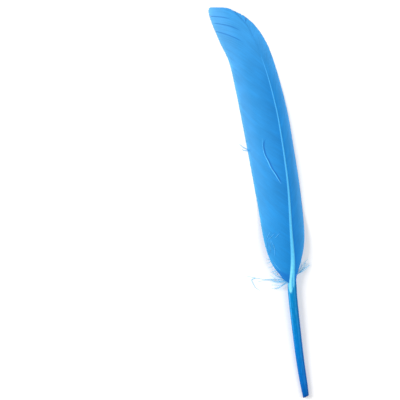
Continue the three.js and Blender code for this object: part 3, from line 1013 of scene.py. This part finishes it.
def make_loose_barbs():
    """Thin tapered barbs with their barbules. Each lies on the smoothed top of the sheet, lifted
    in an arch by a power of half a sine wave."""
    share = np.linspace(0, 1, LOOSE_POINTS)
    arch = np.sin(np.pi * share) ** ARCH_POWER
    paths = []
    for points, lift, _ in LOOSE_BARBS:
        plan = along(smooth_line(points), share)
        top = np.pad(vane_top_at(WIDE, plan), SMOOTHED_OVER // 2, mode="edge")
        top = np.convolve(top, np.ones(SMOOTHED_OVER) / SMOOTHED_OVER, "valid")
        paths.append(np.column_stack([plan, top + LOOSE_ABOVE + lift * arch]))
    paths = np.array(paths)
    taper = smoothstep(share, *ROOT_TAPER)
    taper = taper * (1 - LOOSE_TIP_THINNER * smoothstep(share, *TIP_TAPER))
    radii = np.array([radius for _, _, radius in LOOSE_BARBS])[:, None] * taper
    hair = (LOOSE_HAIR, LOOSE_HAIR_GAP, HAIR_RADIUS, np.random.default_rng(LOOSE_SEED))
    strand_piece("loose_barbs", loose_look, paths, radii, LOOSE_SIDES, hair)


make_loose_barbs()

# %% [markdown]
# ## Down at the foot of the vanes
# The lowest barbs have no hooks at all. They spread in fans from both sides of the shaft and curl
# as they like, three long wisps trail further out, and a few short ones hang from the lower edge of
# the wide vane. Here their middle lines are worked out, as arrays of points.

# %% Down paths
FANS = [  # foot, barbs, bearings in degrees, lengths, bow, height of the tips
    ((4.0, 44.2), 12, (136, 202), (6.4, 7.8), 0.12, 1.1),
    ((5.6, 45.4), 8, (20, 50), (5.4, 8.4), -0.1, 0.6),
]
FAN_UNEVEN, FAN_ARCH, FAN_RISE = 2.5, 0.3, 0.18  # degrees, mm, mm
WISPS = [  # points seen from above; the last one branches off the first
    [(4.0, 44.4), (-0.6, 45.3), (-5.5, 46.4), (-11.6, 49.1)],
    [(4.0, 44.2), (0.2, 44.3), (-4.2, 45.8), (-8.0, 46.0)],
    [(-8.4, 47.5), (-9.9, 47.3), (-9.8, 45.9), (-9.1, 43.9), (-7.8, 42.6)],
]
WISP_HEIGHT, WISP_SINKS_OVER = 0.25, 9
EDGE_DOWN, EDGE_PLACES, EDGE_OUT = 5, (0.002, 0.04), 0.93  # barbs, shares of vane and barb
EDGE_BEARINGS, EDGE_LENGTHS = (150, 215), (1.6, 3.4)
EDGE_BOW, EDGE_SINKS, EDGE_RISE = 0.1, 0.5, 0.15
DOWN_POINTS = 26
DOWN_ROOT = shaft_top(VANE_FOOT) - 1.0
BEND_UNEVEN, WAVE_RUN, WAVE_SIZE = (0.3, 1.5), (4, 9), 0.045


def reaches(bearing, length, rng):
    """Steps from foot to tip: the cosine and sine of each bearing in degrees times a length drawn
    between two limits."""
    angle = np.radians(bearing)
    size = rng.uniform(*length, len(angle))[:, None]
    return np.column_stack([np.cos(angle), np.sin(angle)]) * size


def curled(foot, reach, bow, rng):
    """Barbs seen from above: from each foot along its reach, moved aside by a parabola of bow and
    by a wave that grows towards the tip."""
    count = len(reach)
    share = np.linspace(0, 1, DOWN_POINTS)[None, :, None]
    aside = -turned_right(reach)[:, None]
    bend = 4 * bow * rng.uniform(*BEND_UNEVEN, count)[:, None, None] * share * (1 - share)
    start = rng.uniform(0, 2 * np.pi, count)[:, None, None]
    turn = share * rng.uniform(*WAVE_RUN, count)[:, None, None] + start
    wave = np.sin(turn) * WAVE_SIZE * share
    return foot + reach[:, None] * share + aside * (bend + wave)


def fan_paths(foot, count, bearing, length, bow, tip_height, rng):
    """Middle lines of a fan's barbs, which sink from the shaft to the height of the tips along a
    straight line plus half a sine wave."""
    bearings = np.linspace(*bearing, count) + rng.normal(size=count) * FAN_UNEVEN
    plan = curled(np.array(foot), reaches(bearings, length, rng), bow, rng)
    share = np.linspace(0, 1, DOWN_POINTS)
    height = mixed(DOWN_ROOT, tip_height, share) + FAN_ARCH * np.sin(np.pi * share)
    height = height + rng.normal(0, FAN_RISE, (count, 1)) * share
    return np.dstack([plan, height])


def edge_paths(vane, count, rng):
    """Barbs that hang on the lower edge of a vane: each starts a little inside it and points
    outwards and back to the quill."""
    place, out = np.sort(rng.uniform(*EDGE_PLACES, count)), np.full(count, EDGE_OUT)
    foot = barb_plan(vane, place, out)[:, None]
    reach = reaches(rng.uniform(*EDGE_BEARINGS, count), EDGE_LENGTHS, rng)
    plan = curled(foot, reach, EDGE_BOW, rng)
    start = vane_height(place, out)[:, None]
    share = np.linspace(0, 1, DOWN_POINTS)
    rise = rng.normal(0, EDGE_RISE, (count, 1)) * share
    return np.dstack([plan, start - EDGE_SINKS * share + rise])


def wisp_path(points):
    """A long barb that sinks from the shaft and then runs just above the surface."""
    plan = along(smooth_line(points), np.linspace(0, 1, DOWN_POINTS))
    from_shaft = np.linalg.norm(plan - WISPS[0][0], axis=1)
    sunk = smoothstep(from_shaft, 0, WISP_SINKS_OVER)
    return np.column_stack([plan, mixed(DOWN_ROOT, WISP_HEIGHT, sunk)])


print("down leaves the shaft, mm high:", DOWN_ROOT.round(2))

# %% [markdown]
# ## The down as one piece
# All these barbs have the same number of points, so they go into one array and become tubes in one
# go. Their barbules are long and wild, and those of the wisps only half as long.

# %% Down
DOWN_RADIUS, DOWN_SIDES, DOWN_TIP_THINNER, DOWN_SEED = 0.11, 5, 0.75, 5
DOWN_HAIR, WISP_HAIR, HAIR_GAP = 0.65, 0.32, 0.22


def make_down():
    """Barbs of all fans, the wisps and those of the edge, as thin tapered tubes with barbules."""
    rng = np.random.default_rng(DOWN_SEED)
    fans = [fan_paths(*fan, rng) for fan in FANS]
    wisps = np.array([wisp_path(points) for points in WISPS])
    barbs = np.concatenate([wisps, *fans, edge_paths(WIDE, EDGE_DOWN, rng)])
    lengths = np.where(np.arange(len(barbs)) < len(wisps), WISP_HAIR, DOWN_HAIR)
    share = np.tile(np.linspace(0, 1, DOWN_POINTS), (len(barbs), 1))
    radii = DOWN_RADIUS * (1 - DOWN_TIP_THINNER * share)
    hair = (lengths, HAIR_GAP, HAIR_RADIUS, rng)
    strand_piece("downy_barbs", down_look, barbs, radii, DOWN_SIDES, hair)
    print("  downy barbs:", len(barbs))


make_down()

# %% [markdown]
# ## Floor and light
# The feather lies on a plain white table. Two broad soft lamps and a bright room give hardly any
# shadow. The lamps stand on both sides of it and one is brighter, so that the shaft and the ridges
# of the barbs still show their form.

# %% Floor and lights
WHITE = (1, 1, 1, 1)
FLOOR_WIDTH, FLOOR_COLOUR, FLOOR_GLOW = 3, (0.93, 0.93, 0.94, 1), 0.15
LAMPS = [  # name, place in metres, watts, size in metres
    ("lamp_left", (-0.7, 0.35, 0.75), 6.6, 0.5),
    ("lamp_right", (0.6, -0.1, 0.9), 3.6, 0.7),
]
ROOM_STRENGTH = 0.46


def make_floor():
    """A wide plane at height 0. It glows a little, which keeps the shadows pale."""
    bpy.ops.mesh.primitive_plane_add(size=FLOOR_WIDTH)
    floor = bpy.context.object
    floor.name = "floor"
    finish, _, surface = new_finish(
        "floor_white", Roughness=0.8, Emission_Color=WHITE, Emission_Strength=FLOOR_GLOW)
    surface.inputs["Base Color"].default_value = FLOOR_COLOUR
    floor.data.materials.append(finish)


def make_lamp(name, place, watts, size):
    """A square soft lamp that looks at the middle of the feather."""
    lamp = bpy.data.lights.new(name, "AREA")
    lamp.energy, lamp.size = watts, size
    holder = bpy.data.objects.new(name, lamp)
    holder.location = place
    look = -holder.location
    holder.rotation_euler = look.to_track_quat("-Z", "Y").to_euler()
    bpy.context.scene.collection.objects.link(holder)


def make_room():
    """A bright white room, and a view that shows colours as they are."""
    room = bpy.data.worlds.new("room")
    room.use_nodes = True
    background = room.node_tree.nodes["Background"].inputs
    background["Color"].default_value = WHITE
    background["Strength"].default_value = ROOM_STRENGTH
    bpy.context.scene.world = room
    bpy.context.scene.view_settings.view_transform = "Standard"


make_floor()
for lamp in LAMPS:
    make_lamp(*lamp)
make_room()
print("lamps, watts:", {name: watts for name, _, watts, _ in LAMPS})

# %% [markdown]
# ## The camera
# The camera looks straight down. A long lens from over 80 centimetres away keeps the view almost
# free of perspective, so outlines keep their measured shape. The feather lies along the y axis of
# the frame, and the view is turned so that it shows at a slant.

# %% Camera
VIEW_CENTRE = (-22.1, 80.8)
VIEW_TURN = np.radians(-13.03)
VIEW_WIDTH = 150.0
VIEW_LEVEL = 1.0
LENS, SENSOR = 200.0, 36.0


def make_camera():
    """A camera straight above the middle of the view. Its height over it is the width of the view
    times focal length over sensor width."""
    camera = bpy.data.cameras.new("camera")
    camera.lens, camera.sensor_width = LENS, SENSOR
    holder = bpy.data.objects.new("camera", camera)
    distance = VIEW_WIDTH * LENS / SENSOR
    holder.location = to_frame(np.array([*VIEW_CENTRE, distance + VIEW_LEVEL]))
    holder.rotation_euler = (0, 0, VIEW_TURN)
    bpy.context.scene.collection.objects.link(holder)
    bpy.context.scene.camera = holder
    print("camera height, mm:", round(distance))


make_camera()
